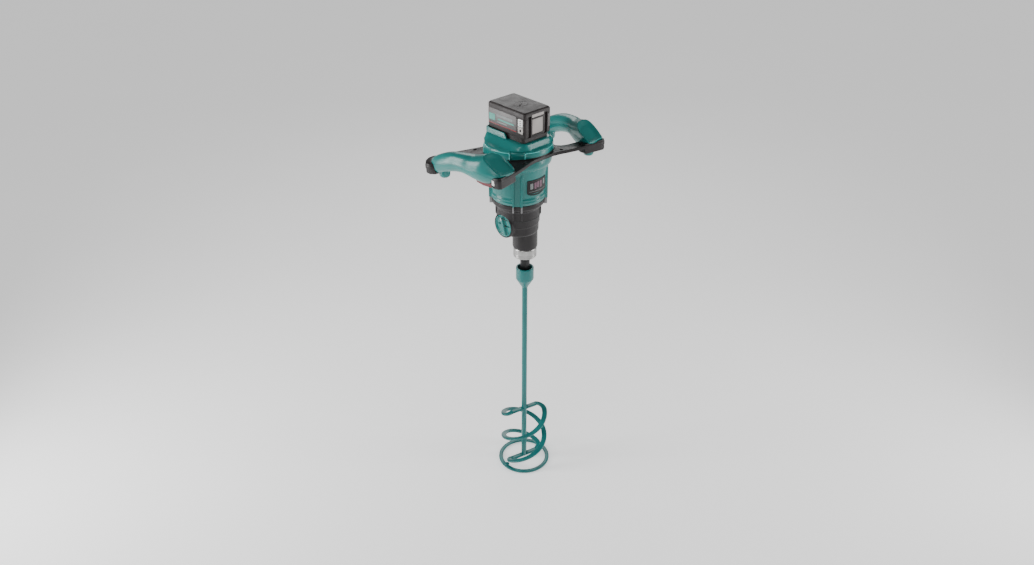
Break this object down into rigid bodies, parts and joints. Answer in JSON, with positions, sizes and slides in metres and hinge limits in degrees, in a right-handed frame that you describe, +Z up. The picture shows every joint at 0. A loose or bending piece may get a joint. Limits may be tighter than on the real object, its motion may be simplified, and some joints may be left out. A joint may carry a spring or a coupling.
{
  "type": "cordless mortar mixer",
  "caption": "Two-handed cordless mixer: helical paddle with a base ring, quick-release coupling, upright gearbox and motor, wide curved grips, slide-in battery on top.",
  "frame": {"origin": "on the plane under the mixing ring, at the centre of the bounding box, below the motor's axis", "axes": "+Z up along the rod; -Y is the front, away from the user; -X is the side with the trigger"},
  "size_m": [0.394, 0.237, 1.045],
  "materials": {
    "teal_plastic": "moulded teal plastic, semi-gloss",
    "teal_paint": "teal enamel on steel",
    "dark_plastic": "charcoal moulded plastic, fine texture",
    "cast_dark": "cast aluminium, charcoal paint",
    "black_rubber": "black rubber",
    "red_plastic": "dark red plastic",
    "grey_plastic": "grey plastic",
    "white_plastic": "white plastic",
    "bright_steel": "turned steel",
    "dark_steel": "blackened steel",
    "copper": "bronze",
    "circuit_green": "solder mask",
    "cell_wrap": "wrapped cells"
  },
  "bodies": {
    "machine": {"gearbox_housing": "cast_dark", "bearing_bridge": "bright_steel", "motor_bearing_lower": "bright_steel", "motor_bearing_upper": "bright_steel", "layshaft_bush_upper": "copper", "layshaft_bush_lower": "copper", "spindle_bearing_upper": "bright_steel", "spindle_bearing_lower": "bright_steel", "spindle_seal": "black_rubber", "stator_core": "dark_steel", "upper_bearing_bracket": "dark_plastic", "motor_housing": "teal_plastic", "nameplate": "dark_plastic", "top_cover": "teal_plastic", "control_board": "circuit_green", "terminal_block": "grey_plastic", "housing_screw_1": "dark_steel", "housing_screw_2": "dark_steel", "housing_screw_3": "dark_steel", "housing_screw_4": "dark_steel", "handle_frame": "dark_plastic", "trigger_grip_upper_shell": "teal_plastic", "trigger_grip_lower_shell": "teal_plastic", "plain_grip_upper_shell": "teal_plastic", "plain_grip_lower_shell": "teal_plastic", "trigger_grip_foot_rear": "teal_plastic", "plain_grip_foot_rear": "teal_plastic", "plain_grip_foot_front": "teal_plastic", "switch_module": "dark_plastic"},
    "rotor": {"motor_shaft": "bright_steel", "rotor_core": "dark_steel", "cooling_fan": "grey_plastic", "motor_pinion": "bright_steel"},
    "layshaft_set": {"layshaft": "bright_steel", "layshaft_wheel": "bright_steel", "layshaft_pinion": "bright_steel"},
    "shift_sleeve": {"shift_sleeve": "bright_steel"},
    "shift_fork": {"shift_fork": "bright_steel"},
    "selector": {"selector_knob": "teal_plastic", "selector_shaft": "dark_steel"},
    "spindle": {"output_spindle": "bright_steel", "spindle_wheel": "bright_steel", "locking_ball_1": "bright_steel", "locking_ball_2": "bright_steel", "coupling_circlip": "dark_steel", "collar_spring": "bright_steel"},
    "collar": {"coupling_collar": "bright_steel"},
    "paddle": {"hex_adapter": "dark_steel", "paddle_cup": "teal_paint", "paddle_rod": "teal_paint", "helical_blade_1": "teal_paint", "helical_blade_2": "teal_paint", "mixing_ring": "teal_paint"},
    "trigger": {"trigger": "red_plastic"},
    "lock_button": {"lock_button": "white_plastic"},
    "battery": {"battery_case": "dark_plastic", "battery_lid": "dark_plastic", "battery_cells": "cell_wrap"},
    "battery_release": {"battery_release": "grey_plastic"},
    "gauge_button": {"gauge_button": "white_plastic"}
  },
  "joints": [
    {"name": "spindle_spin", "type": "hinge", "parent": "machine", "child": "spindle", "pos_m": [0.022, 0, 0.7], "axis": [0, 0, 1], "continuous": true},
    {"name": "layshaft_spin", "type": "hinge", "parent": "machine", "child": "layshaft_set", "pos_m": [-0.00209, 0.01788, 0.77], "axis": [0, 0, 1], "continuous": true},
    {"name": "rotor_spin", "type": "hinge", "parent": "machine", "child": "rotor", "pos_m": [0, 0, 0.86], "axis": [0, 0, 1], "continuous": true},
    {"name": "selector_turn", "type": "hinge", "parent": "machine", "child": "selector", "pos_m": [-0.046, 0, 0.756], "axis": [1, 0, 0], "range_deg": [0, 90]},
    {"name": "fork_slide", "type": "slide", "parent": "machine", "child": "shift_fork", "axis": [0, 0, 1], "range_m": [0, 0.008]},
    {"name": "sleeve_slide", "type": "slide", "parent": "layshaft_set", "child": "shift_sleeve", "axis": [0, 0, 1], "range_m": [0, 0.008]},
    {"name": "collar_slide", "type": "slide", "parent": "spindle", "child": "collar", "axis": [0, 0, -1], "range_m": [0, 0.006], "stiffness_N_per_m": 1500, "springref_m": -0.005, "deforming": ["collar_spring"]},
    {"name": "paddle_lift_off", "type": "slide", "parent": "spindle", "child": "paddle", "axis": [0, 0, -1], "range_m": [0, 0.08]},
    {"name": "trigger_pull", "type": "hinge", "parent": "machine", "child": "trigger", "pos_m": [-0.15, -0.0355, 0.93], "axis": [-1, 0, 0], "range_deg": [0, 4], "stiffness_Nm_per_rad": 3, "springref_deg": -5.73},
    {"name": "lock_press", "type": "slide", "parent": "machine", "child": "lock_button", "axis": [1, 0, 0], "range_m": [0, 0.003], "stiffness_N_per_m": 400, "springref_m": -0.004},
    {"name": "battery_slide", "type": "slide", "parent": "machine", "child": "battery", "axis": [0, -1, 0], "range_m": [0, 0.07]},
    {"name": "battery_release_press", "type": "slide", "parent": "battery", "child": "battery_release", "axis": [0, 1, 0], "range_m": [0, 0.0025], "stiffness_N_per_m": 600, "springref_m": -0.004},
    {"name": "gauge_press", "type": "slide", "parent": "battery", "child": "gauge_button", "axis": [1, 0, 0], "range_m": [0, 0.001], "stiffness_N_per_m": 500, "springref_m": -0.002}
  ],
  "couplings": [
    {"joint": "layshaft_spin", "follows": "spindle_spin", "ratio": -3.2857},
    {"joint": "rotor_spin", "follows": "spindle_spin", "ratio": 9.8571},
    {"joint": "fork_slide", "follows": "selector_turn", "m_per_rad": 0.005093},
    {"joint": "sleeve_slide", "follows": "selector_turn", "m_per_rad": 0.005093}
  ]
}
